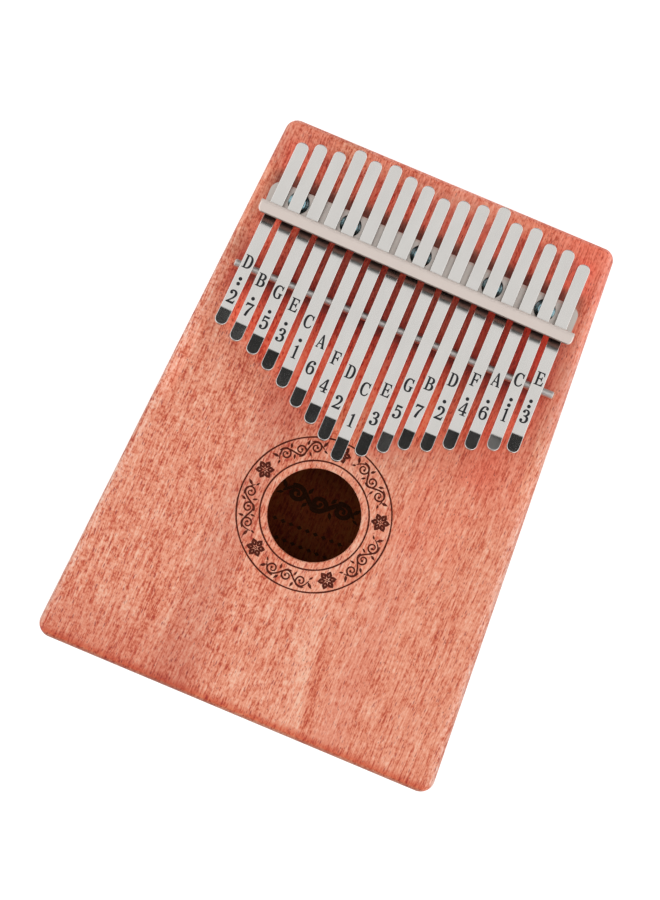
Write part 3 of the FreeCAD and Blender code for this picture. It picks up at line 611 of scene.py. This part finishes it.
GLYPHS = {
    "E": "M 0 0 L 0 .035 .09 .05 .09 .95 0 .965 0 1 .575 1 .60 .75 .567 .75 C .54 .90 .50 .945 .38 .945 L .22 .945 .22 .54 .33 .54 C .42 .54 .44 .58 .45 .67 L .485 .67 .485 .36 .45 .36 C .44 .45 .42 .485 .33 .485 L .22 .485 .22 .055 .40 .055 C .53 .055 .57 .11 .605 .28 L .64 .28 .61 0 Z",
    "F": "M 0 0 L 0 .035 .09 .05 .09 .95 0 .965 0 1 .575 1 .605 .74 .57 .74 C .545 .90 .50 .945 .38 .945 L .22 .945 .22 .53 .33 .53 C .42 .53 .44 .57 .45 .66 L .485 .66 .485 .35 .45 .35 C .44 .44 .42 .475 .33 .475 L .22 .475 .22 .05 .33 .035 .33 0 Z",
    "D": "M 0 0 L 0 .035 .09 .05 .09 .95 0 .965 0 1 .28 1 C .53 1 .66 .82 .66 .5 C .66 .18 .53 0 .28 0 Z M .22 .055 L .22 .945 .27 .945 C .44 .945 .51 .78 .51 .5 C .51 .22 .44 .055 .27 .055 Z",
    "B": "M 0 0 L 0 .035 .09 .05 .09 .95 0 .965 0 1 .30 1 C .50 1 .59 .90 .59 .765 C .59 .64 .51 .565 .41 .535 C .55 .51 .64 .42 .64 .28 C .64 .11 .52 0 .30 0 Z M .22 .555 L .22 .945 .28 .945 C .39 .945 .445 .88 .445 .755 C .445 .63 .39 .555 .28 .555 Z M .22 .055 L .22 .505 .29 .505 C .42 .505 .49 .42 .49 .28 C .49 .14 .42 .055 .29 .055 Z",
    "C": "M .615 .68 L .58 .68 C .56 .86 .48 .95 .36 .95 C .22 .95 .15 .78 .15 .5 C .15 .22 .22 .05 .36 .05 C .48 .05 .56 .12 .60 .27 L .635 .255 C .60 .08 .50 -.015 .34 -.015 C .13 -.015 0 .19 0 .5 C 0 .81 .13 1.015 .34 1.015 C .43 1.015 .50 .98 .55 .94 L .575 .94 .597 1.01 .625 1.01 Z",
    "G": "M .60 .70 L .565 .70 C .54 .87 .47 .95 .35 .95 C .21 .95 .15 .78 .15 .5 C .15 .22 .21 .05 .36 .05 C .41 .05 .45 .065 .475 .09 L .475 .36 .40 .385 .40 .42 .69 .42 .69 .385 .61 .36 .61 .10 C .54 .02 .45 -.015 .34 -.015 C .13 -.015 0 .19 0 .5 C 0 .81 .13 1.015 .34 1.015 C .42 1.015 .49 .98 .535 .94 L .56 .94 .582 1.01 .61 1.01 Z",
    "A": "M 0 0 L 0 .035 .055 .05 .285 1.02 .36 1.02 .60 .05 .66 .035 .66 0 .40 0 .40 .035 .46 .05 .405 .30 .165 .30 .11 .05 .185 .035 .185 0 Z M .18 .355 L .39 .355 .285 .80 Z",
    "1": "M .10 0 L .10 .035 .215 .05 .215 .84 C .215 .87 .20 .875 .17 .87 L .09 .84 .09 .875 .30 1.02 .345 1.02 .345 .05 .46 .035 .46 0 Z",
    "2": "M 0 0 L 0 .04 C .22 .27 .435 .46 .435 .70 C .435 .85 .37 .93 .27 .93 C .21 .93 .165 .905 .145 .865 C .20 .865 .235 .83 .235 .78 C .235 .725 .195 .69 .14 .69 C .08 .69 .04 .735 .04 .80 C .04 .93 .15 1.02 .30 1.02 C .47 1.02 .585 .91 .585 .745 C .585 .55 .42 .38 .19 .135 L .43 .135 C .52 .135 .55 .16 .585 .27 L .62 .27 .575 0 Z",
    "3": "M .055 .80 C .075 .93 .17 1.02 .30 1.02 C .46 1.02 .56 .93 .56 .79 C .56 .68 .50 .60 .41 .565 C .54 .53 .61 .44 .61 .31 C .61 .11 .46 -.015 .25 -.015 C .11 -.015 .02 .05 .02 .15 C .02 .215 .06 .255 .12 .255 C .18 .255 .215 .215 .215 .16 C .215 .12 .19 .085 .16 .07 C .19 .05 .22 .045 .255 .045 C .39 .045 .455 .14 .455 .28 C .455 .43 .37 .50 .23 .50 L .19 .50 .19 .535 C .33 .55 .415 .63 .415 .77 C .415 .89 .36 .955 .28 .955 C .235 .955 .20 .94 .18 .915 C .215 .90 .235 .87 .235 .835 C .235 .785 .20 .75 .145 .75 C .09 .75 .055 .775 .055 .80 Z",
    "4": "M .20 0 L .20 .035 .35 .05 .35 .245 0 .245 0 .32 .37 1.02 .485 1.02 .485 .33 .62 .33 .62 .245 .485 .245 .485 .05 .60 .035 .60 0 Z M .075 .33 L .35 .33 .35 .84 Z",
    "5": "M .09 1.0 L .54 1.0 .50 .87 .17 .87 .15 .63 C .20 .67 .25 .685 .31 .685 C .49 .685 .60 .56 .60 .36 C .60 .13 .45 -.015 .24 -.015 C .10 -.015 .02 .05 .02 .145 C .02 .21 .06 .25 .12 .25 C .175 .25 .215 .215 .215 .16 C .215 .12 .195 .085 .165 .07 C .19 .052 .21 .045 .24 .045 C .38 .045 .45 .16 .45 .345 C .45 .52 .39 .61 .28 .61 C .21 .61 .15 .58 .115 .53 L .075 .53 Z",
    "6": "M .575 .885 C .575 .96 .48 1.02 .37 1.02 C .15 1.02 0 .80 0 .47 C 0 .17 .12 -.015 .32 -.015 C .50 -.015 .62 .12 .62 .325 C .62 .52 .51 .64 .36 .64 C .27 .64 .20 .605 .15 .54 C .16 .80 .24 .96 .37 .96 C .40 .96 .425 .95 .44 .935 C .41 .92 .395 .895 .395 .865 C .395 .815 .43 .785 .485 .785 C .54 .785 .575 .825 .575 .885 Z M .155 .36 C .155 .15 .21 .045 .32 .045 C .42 .045 .475 .14 .475 .315 C .475 .49 .42 .58 .315 .58 C .215 .58 .155 .50 .155 .36 Z",
    "7": "M .06 .74 L .025 .75 .065 1.0 .62 1.0 .62 .965 C .50 .72 .38 .42 .35 0 L .19 0 C .21 .33 .35 .62 .52 .865 L .20 .865 C .13 .865 .095 .83 .06 .74 Z",
}
GLYPH_H = 4.28


def circle(cx, cy, r, n=24, flip=False):
    pts = [(cx + r * math.cos(2 * math.pi * k / n), cy + r * math.sin(2 * math.pi * k / n)) for k in range(n)]
    return pts[::-1] if flip else pts


def spread(line, by, hole=False):
    """Move a closed outline outwards (a hole's inwards) by a small distance."""
    p = np.array(line)
    keep = np.linalg.norm(p - np.roll(p, 1, 0), axis=1) > 1e-6
    p = p[keep]
    area = 0.5 * np.sum(p[:, 0] * np.roll(p[:, 1], -1) - np.roll(p[:, 0], -1) * p[:, 1])
    a, b = p - np.roll(p, 1, 0), np.roll(p, -1, 0) - p
    na = np.stack([a[:, 1], -a[:, 0]], 1) / np.linalg.norm(a, axis=1)[:, None]
    nb = np.stack([b[:, 1], -b[:, 0]], 1) / np.linalg.norm(b, axis=1)[:, None]
    m = na + nb
    m /= np.maximum(np.linalg.norm(m, axis=1), 0.5)[:, None]
    k = by * (1 if area > 0 else -1) * (-1 if hole else 1)
    return [tuple(v) for v in p + m * k]


def glyph(ch, cy):
    """Outlines of one label, centred on x = 0 and y = cy, in mm."""
    lines = flatten(GLYPHS[ch])
    xs = [p[0] for ln in lines for p in ln]
    mid = (min(xs) + max(xs)) / 2
    mm = [[((x - mid) * GLYPH_H, (y - 0.5) * GLYPH_H + cy) for x, y in ln] for ln in lines]
    return [spread(ln, 0.090, i > 0) for i, ln in enumerate(mm)]


# ---------------------------------------------------------------------------
# Tines: one continuous strip each, standing for its two CAD nodes
# ---------------------------------------------------------------------------
# how dull the underside-facing tips are, where more than the rest (by tine)
DULL = {1: 0.055, 2: 0.07, 5: 0.02, 11: 0.045, 15: 0.025, 16: 0.145, 17: 0.015}


def side_path(x, lean, heel_y, tip_y, bend_y):
    """The strip's top line as (distance from the rod along the tine, height, heading),
    densely sampled, tip first. Distance is negative towards the tip."""
    scale = math.sqrt(1 + lean * lean)
    f = math.radians(FRONT_SLOPE)

    def walk(pos, heading, steps, limit):
        pts = [(pos[0], pos[1], heading)]
        h, (px, pz) = heading, pos
        for kind, a, r in steps:
            if kind == "run":
                n = max(1, int(a / 0.9))
                for k in range(n):
                    px += a / n * math.cos(h)
                    pz += a / n * math.sin(h)
                    pts.append((px, pz, h))
            else:
                n = max(3, int(abs(a) / math.radians(2.5)))
                for k in range(n):
                    mid = h + a / n / 2
                    chord = 2 * r * math.sin(abs(a) / n / 2)
                    px += chord * math.cos(mid)
                    pz += chord * math.sin(mid)
                    h += a / n
                    pts.append((px, pz, h))
        out = []
        for i, p in enumerate(pts):
            if p[0] < limit - 1e-6:
                out.append(p)
            else:
                a = pts[i - 1]
                u = (limit - a[0]) / (p[0] - a[0])
                out.append((limit, a[1] + u * (p[1] - a[1]), a[2] + u * (p[2] - a[2])))
                break
        return out

    z0 = TOP + AT_ROD
    dip_y = DIP_START_Y + BAR_SKEW * x
    rear = walk((0, z0), -f, [("run", (dip_y - ROD_Y) * scale / math.cos(f), 0),
                              ("arc", -math.radians(DIP_ANGLE - FRONT_SLOPE), DIP_R_FRONT), ("run", DIP_RUN, 0),
                              ("arc", math.radians(DIP_ANGLE + REAR_SLOPE), DIP_R_REAR), ("run", 45.0, 0)],
                (heel_y - ROD_Y) * scale)
    front = walk((0, z0), f, [("run", (ROD_Y - bend_y) * scale / math.cos(f) - TIP_BEND_R * math.tan(math.radians(TIP_BEND / 2)), 0),
                              ("arc", math.radians(TIP_BEND), TIP_BEND_R), ("run", 12.0, 0)],
                 (ROD_Y - tip_y) * scale)
    line = [(-p[0], p[1], -p[2]) for p in reversed(front)] + rear[1:]
    return np.array(line)


def tine(k):
    x, lean, heel_y, tip_y, bend_y = TINES[k - 1]
    line = side_path(x, lean, heel_y, tip_y, bend_y)
    scale = math.sqrt(1 + lean * lean)
    s0, s1 = line[0, 0], line[-1, 0]
    W, R_TIP, R_HEEL, EDGE = TINE_W / 2, 2.0, 1.95, 0.22

    def at(s):
        z = np.interp(s, line[:, 0], line[:, 1])
        h = np.interp(s, line[:, 0], line[:, 2])
        return z, h

    inner_s = [v for v in line[:, 0] if s0 + R_TIP + 0.15 < v < s1 - R_HEEL - 0.15]
    n_end = 9

    def outline(inset):
        """(s, half width) stations of the plan outline moved in by inset."""
        w = W - inset
        rt, rh = R_TIP - inset, R_HEEL - inset
        pts = []
        for j in range(n_end + 1):
            a = math.pi / 2 * (1 - j / n_end)
            pts.append((s0 + inset + rt - rt * math.sin(a), (w - rt) + rt * math.cos(a)))
        pts += [(v, w) for v in inner_s]
        for j in range(n_end + 1):
            a = math.pi / 2 * j / n_end
            pts.append((s1 - inset - rh + rh * math.sin(a), (w - rh) + rh * math.cos(a)))
        return pts

    steps = 4
    rings = []      # from the top face's rim down to the underside's rim
    for j in range(steps + 1):
        a = math.pi / 2 * j / steps
        rings.append((EDGE * (1 - math.sin(a)), -EDGE * (1 - math.cos(a))))
    under = [(i, -TINE_T - z) for i, z in reversed(rings)]
    rings += under
    verts, faces = [], []
    ang = math.atan(lean)
    ex = Vector((math.cos(ang), -math.sin(ang), 0))
    ey = Vector((math.sin(ang), math.cos(ang), 0))
    base = Vector((x, ROD_Y, 0))

    def world(s, u, depth):
        """Point at distance s, u across, depth below the strip's top (negative is down)."""
        z, h = at(s)
        return (base + ey * (s - depth * math.sin(h) * 1.0) + ex * u + Vector((0, 0, z + depth * math.cos(h)))) * MM

    n = len(outline(0))
    for inset, dz in rings:
        for s, w in outline(inset):
            verts.append(world(s, w, dz))
        for s, w in outline(inset):
            verts.append(world(s, -w, dz))
    for r in range(len(rings) - 1):
        a, b = r * 2 * n, (r + 1) * 2 * n
        for i in range(n - 1):
            faces.append((a + i, a + i + 1, b + i + 1, b + i))
            faces.append((a + n + i + 1, a + n + i, b + n + i, b + n + i + 1))
        faces.append((a + n, a, b, b + n))
        faces.append((a + n - 1, a + 2 * n - 1, b + 2 * n - 1, b + n - 1))
    # top and underside
    for r, up in ((0, True), (len(rings) - 1, False)):
        a = r * 2 * n
        for i in range(n - 1):
            q = (a + i, a + n + i, a + n + i + 1, a + i + 1)
            faces.append(q if up else q[::-1])
    me = bpy.data.meshes.new("tine_%02d" % k)
    me.from_pydata([tuple(v) for v in verts], [], faces)
    me.materials.append(M["tine"])
    me.materials.append(M["ink"])

    # labels, a thin coat of ink lying on the strip
    letter, ly, dots, digit, dy = LABELS[k - 1]
    bm = bmesh.new()
    bm.from_mesh(me)
    bmesh.ops.remove_doubles(bm, verts=bm.verts, dist=1e-8)
    bmesh.ops.recalc_face_normals(bm, faces=bm.faces)
    parts = [glyph(letter, ly), glyph(digit, dy)] + [[circle(0, d, 0.61)] for d in dots]
    for lines in parts:
        vs, fs = fill(lines, -0.015, 0.022)
        made = [bm.verts.new(world((vy - ROD_Y) * scale, vx, vz)) for vx, vy, vz in vs]
        for f in fs:
            try:
                nf = bm.faces.new([made[i] for i in f])
                nf.material_index = 1
            except ValueError:
                pass
    bm.to_mesh(me)
    bm.free()
    for p in me.polygons:
        p.use_smooth = p.material_index == 0
    me.update()
    dull = me.attributes.new("dull", "FLOAT", "POINT")
    out = Vector((math.sin(ang), math.cos(ang)))
    start = (bend_y + 1.2 - ROD_Y) * scale
    for i, v in enumerate(me.vertices):
        s = (v.co.x / MM - x) * out.x + (v.co.y / MM - ROD_Y) * out.y
        u = min(1.0, max(0.0, (start - s) / 2.5))
        # the strip is scuffed where it was bent under the bar
        b = s - (DIP_START_Y + BAR_SKEW * x - ROD_Y) * scale
        b = min(1.0, max(0.0, (b + 0.9) / 1.4)) * min(1.0, max(0.0, (7.0 - b) / 1.5))
        dull.data[i].value = DULL.get(k, 0.0) * u + 0.09 * b
    ob = bpy.data.objects.new("tine_%02d" % k, me)
    bpy.context.scene.collection.objects.link(ob)
    wn = ob.modifiers.new("normals", "WEIGHTED_NORMAL")
    wn.keep_sharp = True
    wn.weight = 80
    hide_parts("tine_%02d_heel" % k, "tine_%02d_reed" % k)
    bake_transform(ob)
    return ob


for k in range(1, 18):
    tine(k)


# ---------------------------------------------------------------------------
# Burnt decoration round the sound hole
# ---------------------------------------------------------------------------
def add_flat(name, groups, z0, z1, mat, body="box", bend=None):
    """One piece made of several flat solids. groups: lists of outlines, in mm.
    Neighbours differ a little in height, so that no two faces share a plane where they cross."""
    bm = bmesh.new()
    for i, lines in enumerate(groups):
        vs, fs = fill(lines, z0, z1 + 0.003 * (i % 15))
        made = [bm.verts.new((vx * MM, vy * MM, vz * MM)) for vx, vy, vz in vs]
        for f in fs:
            try:
                bm.faces.new([made[i] for i in f])
            except ValueError:
                pass
    me = bpy.data.meshes.new(name)
    bm.to_mesh(me)
    bm.free()
    me.materials.append(mat)
    ob = bpy.data.objects.new(name, me)
    bpy.context.scene.collection.objects.link(ob)
    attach(ob, body)
    return ob


RCX, RCY = -0.32, -23.05


def ring(r, w, wobble, n=220, cx=RCX, cy=RCY):
    rnd = random.Random(int(r * 10))
    ph = [rnd.uniform(0, 6.28) for _ in range(4)]

    def k(a):
        return wobble * (math.sin(7 * a + ph[0]) + 0.6 * math.sin(17 * a + ph[1]) + 0.5 * math.sin(31 * a + ph[2]))

    outer = [(cx + (r + w / 2 + k(a)) * math.cos(a), cy + (r + w / 2 + k(a)) * math.sin(a))
             for a in [2 * math.pi * i / n for i in range(n)]]
    inner = [(cx + (r - w / 2 - k(a) * 0.6) * math.cos(a), cy + (r - w / 2 - k(a) * 0.6) * math.sin(a))
             for a in [2 * math.pi * i / n for i in range(n)]]
    return [outer, inner[::-1]]


def stroke(points, widths):
    """Outline of a brush stroke along points with a width at each point (round ends)."""
    pts = np.array(points, float)
    d = np.gradient(pts, axis=0)
    d /= np.linalg.norm(d, axis=1)[:, None] + 1e-12
    nrm = np.stack([-d[:, 1], d[:, 0]], 1)
    w = np.array(widths)[:, None] / 2
    left, right = pts + nrm * w, pts - nrm * w
    cap0 = [pts[0] - d[0] * w[0] * math.cos(a) + nrm[0] * w[0] * math.sin(a) for a in (-0.8, 0, 0.8)]
    cap1 = [pts[-1] + d[-1] * w[-1] * math.cos(a) + nrm[-1] * w[-1] * math.sin(a) for a in (0.8, 0, -0.8)]
    return [tuple(p) for p in left] + [tuple(p) for p in cap1] + [tuple(p) for p in right[::-1]] + [tuple(p) for p in cap0]


def polar(r, deg):
    a = math.radians(deg)
    return RCX + r * math.cos(a), RCY + r * math.sin(a)


def flower(deg, r=21.5, size=3.15, turn=0.0):
    cx, cy = polar(r, deg)
    groups = []
    for i in range(6):
        a = math.radians(turn + 60 * i)
        ca, sa = math.cos(a), math.sin(a)

        def place(pts):
            return [(cx + u * ca - v * sa, cy + u * sa + v * ca) for u, v in pts]

        prof = [(0.62, 0.16), (1.05, 0.56), (1.66, 0.98), (2.14, 0.92), (2.58, 0.58), (size, 0.0)]
        petal = list(prof) + [(u, -v) for u, v in reversed(prof[:-1])]
        slit = [(1.30, 0.0), (1.66, 0.13), (2.1, 0.0), (1.66, -0.13)]
        groups.append([place(petal), place(slit[::-1])])
    groups.append([circle(cx, cy, 0.50, 16), circle(cx, cy, 0.20, 10, True)])
    return groups


def scroll(turns=1.35, r0=2.15, r1=0.42, n=40):
    """A spiral about the origin, from its outer end to its eye."""
    pts = []
    for i in range(n + 1):
        u = i / n
        r = r0 + (r1 - r0) * u ** 0.85
        a = 2 * math.pi * turns * u
        pts.append((r * math.cos(a), r * math.sin(a)))
    return pts


def leaf(u, v, deg, length, width):
    a = math.radians(deg)
    ca, sa = math.cos(a), math.sin(a)
    prof = [(0.0, 0.08), (0.18, 0.62), (0.38, 0.98), (0.58, 0.86), (0.78, 0.48), (1.0, 0.05)]
    pts = [(t * length, w * width / 2) for t, w in prof] + [(t * length, -w * width / 2) for t, w in reversed(prof)]
    return [(u + x * ca - y * sa, v + x * sa + y * ca) for x, y in pts]


def rinceau(bold=1.0):
    """Leafy running scroll about the origin, 15 mm long and 6 mm high, as outlines."""
    out = []
    wave = [(u, -1.85 * math.cos(math.pi * u / 5.0)) for u in np.linspace(-7.7, 7.7, 90)]
    wid = [bold * (0.24 + 0.34 * math.sin(math.pi * i / 89) ** 0.5) for i in range(90)]
    out.append(stroke(wave, wid))
    for cu, side in ((-5.0, 1), (0.0, -1), (5.0, 1)):
        pts = scroll()
        # start on the wave at its far side and curl back over it
        pts = [(-x, y * 1.0) for x, y in pts]
        rot = math.radians(-62)
        pts = [(x * math.cos(rot) - y * math.sin(rot), x * math.sin(rot) + y * math.cos(rot)) for x, y in pts]
        pts = [(cu + x, side * (y + 0.15)) for x, y in pts]
        w = [bold * (0.30 + 0.26 * math.sin(math.pi * min(1, 0.15 + i / len(pts)))) for i in range(len(pts))]
        out.append(stroke(pts, w))
        e = pts[-1]
        out.append(circle(e[0], e[1], 0.42, 14))
    for u, v, d, ln, w in ((-7.4, 0.4, 118, 2.3, 0.95), (-2.7, 1.1, 72, 1.9, 0.85), (-2.3, -1.0, -118, 1.8, 0.8),
                           (2.3, 1.0, 62, 1.9, 0.85), (2.7, -1.1, -70, 1.9, 0.8), (7.3, 0.5, 58, 2.3, 0.95),
                           (-7.6, -0.6, -150, 1.6, 0.7), (7.6, -0.6, -30, 1.6, 0.7)):
        out.append(leaf(u, v, d, ln, w))
    return out


def vine(deg):
    """The running scroll laid round the ring, centred at this angle."""
    groups = []
    for line in rinceau():
        groups.append([[polar(21.5 + v, deg - math.degrees(u / 21.5)) for u, v in line]])
    return groups


art = [ring(17.66, 0.56, 0.02, cx=-0.19, cy=-23.16), ring(25.07, 0.54, 0.025)]
for a, turn in ((88, 0), (16, 12), (-56, 30), (-128, 8), (160, 20)):
    art += flower(a, turn=turn)
for a in (124, 52, -20, -92, -164):
    art += vine(a)
add_flat("rosette_burn", art, TOP - 0.02, TOP + 0.018, M["burn"])


# a stamped ornament on the inside of the back board, seen faintly in the hole
stamp = []
for line in rinceau(1.9):
    stamp.append([[(1.62 * u + HOLE_X, 1.35 * v - 19.5) for u, v in line]])
for y, n, w, h in ((-29.5, 9, 1.9, 1.5), (-35.3, 7, 1.9, 1.5)):
    for i in range(n):
        cx = HOLE_X + (i - (n - 1) / 2) * 2.9
        stamp.append([[(cx - w / 2, y), (cx, y - h / 2), (cx + w / 2, y), (cx, y + h / 2)]])
add_flat("cavity_stamp", stamp, 3.98, 4.015, M["stain"])


# ---------------------------------------------------------------------------
# Studio
# ---------------------------------------------------------------------------
OVER, SIDE_L, SIDE_R, ROOM_FRONT, ROOM_HEEL = 26.0, 1.53, 1.69, 0.20, 0.024


def studio():
    me = bpy.data.meshes.new("floor")
    s = 3.0
    me.from_pydata([(-s, -s, 0), (s, -s, 0), (s, s, 0), (-s, s, 0)], [], [(0, 1, 2, 3)])
    ob = bpy.data.objects.new("floor", me)
    ob.location.z = -0.0002
    bpy.context.scene.collection.objects.link(ob)
    mat = bpy.data.materials.new("pale_floor")
    mat.use_nodes = True
    b = mat.node_tree.nodes["Principled BSDF"]
    b.inputs["Base Color"].default_value = (0.34, 0.34, 0.34, 1)
    b.inputs["Roughness"].default_value = 0.9
    b.inputs["Specular IOR Level"].default_value = 0.1
    b.inputs["Emission Color"].default_value = (1, 1, 1, 1)
    b.inputs["Emission Strength"].default_value = 0.85
    me.materials.append(mat)

    world = bpy.data.worlds.new("studio")
    bpy.context.scene.world = world
    world.use_nodes = True
    nt = world.node_tree
    nt.nodes.clear()
    out = nt.nodes.new("ShaderNodeOutputWorld")
    bg = nt.nodes.new("ShaderNodeBackground")
    nt.links.new(bg.outputs[0], out.inputs[0])
    tc = nt.nodes.new("ShaderNodeTexCoord")

    def rng(v, a, b, lo, hi):
        n = nt.nodes.new("ShaderNodeMapRange")
        n.interpolation_type = "SMOOTHSTEP"
        nt.links.new(v, n.inputs["Value"])
        n.inputs["From Min"].default_value = a
        n.inputs["From Max"].default_value = b
        n.inputs["To Min"].default_value = lo
        n.inputs["To Max"].default_value = hi
        return n.outputs["Result"]

    # a soft overhead panel, two side panels, and unlit room before and behind
    sep = nt.nodes.new("ShaderNodeSeparateXYZ")
    nt.links.new(tc.outputs["Generated"], sep.inputs[0])
    dx, dy, dz = sep.outputs

    def op(kind, a, b=0.0):
        n = nt.nodes.new("ShaderNodeMath")
        n.operation = kind
        for v, s in ((a, n.inputs[0]), (b, n.inputs[1])):
            if isinstance(v, float):
                s.default_value = v
            else:
                nt.links.new(v, s)
        return n.outputs[0]

    over = rng(dz, math.cos(math.radians(OVER + 3)), math.cos(math.radians(OVER - 3)), 0.0, 1.0)
    sides = rng(op("ABSOLUTE", dx), 0.28, 0.55, 0.0, 1.0)
    side_level = op("MULTIPLY", rng(dx, -0.3, 0.3, SIDE_L, SIDE_R), rng(dz, 0.07, 0.375, 0.25, 1.0))
    room = rng(dy, -0.2, 0.2, ROOM_FRONT, ROOM_HEEL)
    around = op("ADD", op("MULTIPLY", sides, side_level), op("MULTIPLY", op("SUBTRACT", 1.0, sides), room))
    level = op("ADD", over, op("MULTIPLY", op("SUBTRACT", 1.0, over), around))
    # the panels light the part, and the backdrop itself is plain white
    seen = nt.nodes.new("ShaderNodeLightPath").outputs["Is Camera Ray"]
    level = op("ADD", level, op("MULTIPLY", seen, op("SUBTRACT", 1.0, level)))
    nt.links.new(level, bg.inputs["Strength"])
    bg.inputs["Color"].default_value = (1.0, 1.0, 1.0, 1)

    cam = bpy.data.cameras.new("camera")
    cam.lens = 2797.0 / 900.0 * 36.0
    cam.sensor_width = 36.0
    cam.clip_start, cam.clip_end = 0.01, 20
    co = bpy.data.objects.new("camera", cam)
    th = math.radians(22.8)
    rot = Matrix(((math.cos(th), -math.sin(th), 0), (math.sin(th), math.cos(th), 0), (0, 0, 1)))
    co.matrix_world = Matrix.Translation((-3.68 * MM, -1.81 * MM, (TOP + 900.0) * MM)) @ rot.to_4x4()
    bpy.context.scene.collection.objects.link(co)
    bpy.context.scene.camera = co


studio()
sc = bpy.context.scene
sc.view_settings.view_transform = "Standard"
sc.view_settings.look = "None"
sc.cycles.use_denoising = True
sc.cycles.max_bounces = 8
sc.cycles.diffuse_bounces = 5
sc.cycles.glossy_bounces = 5
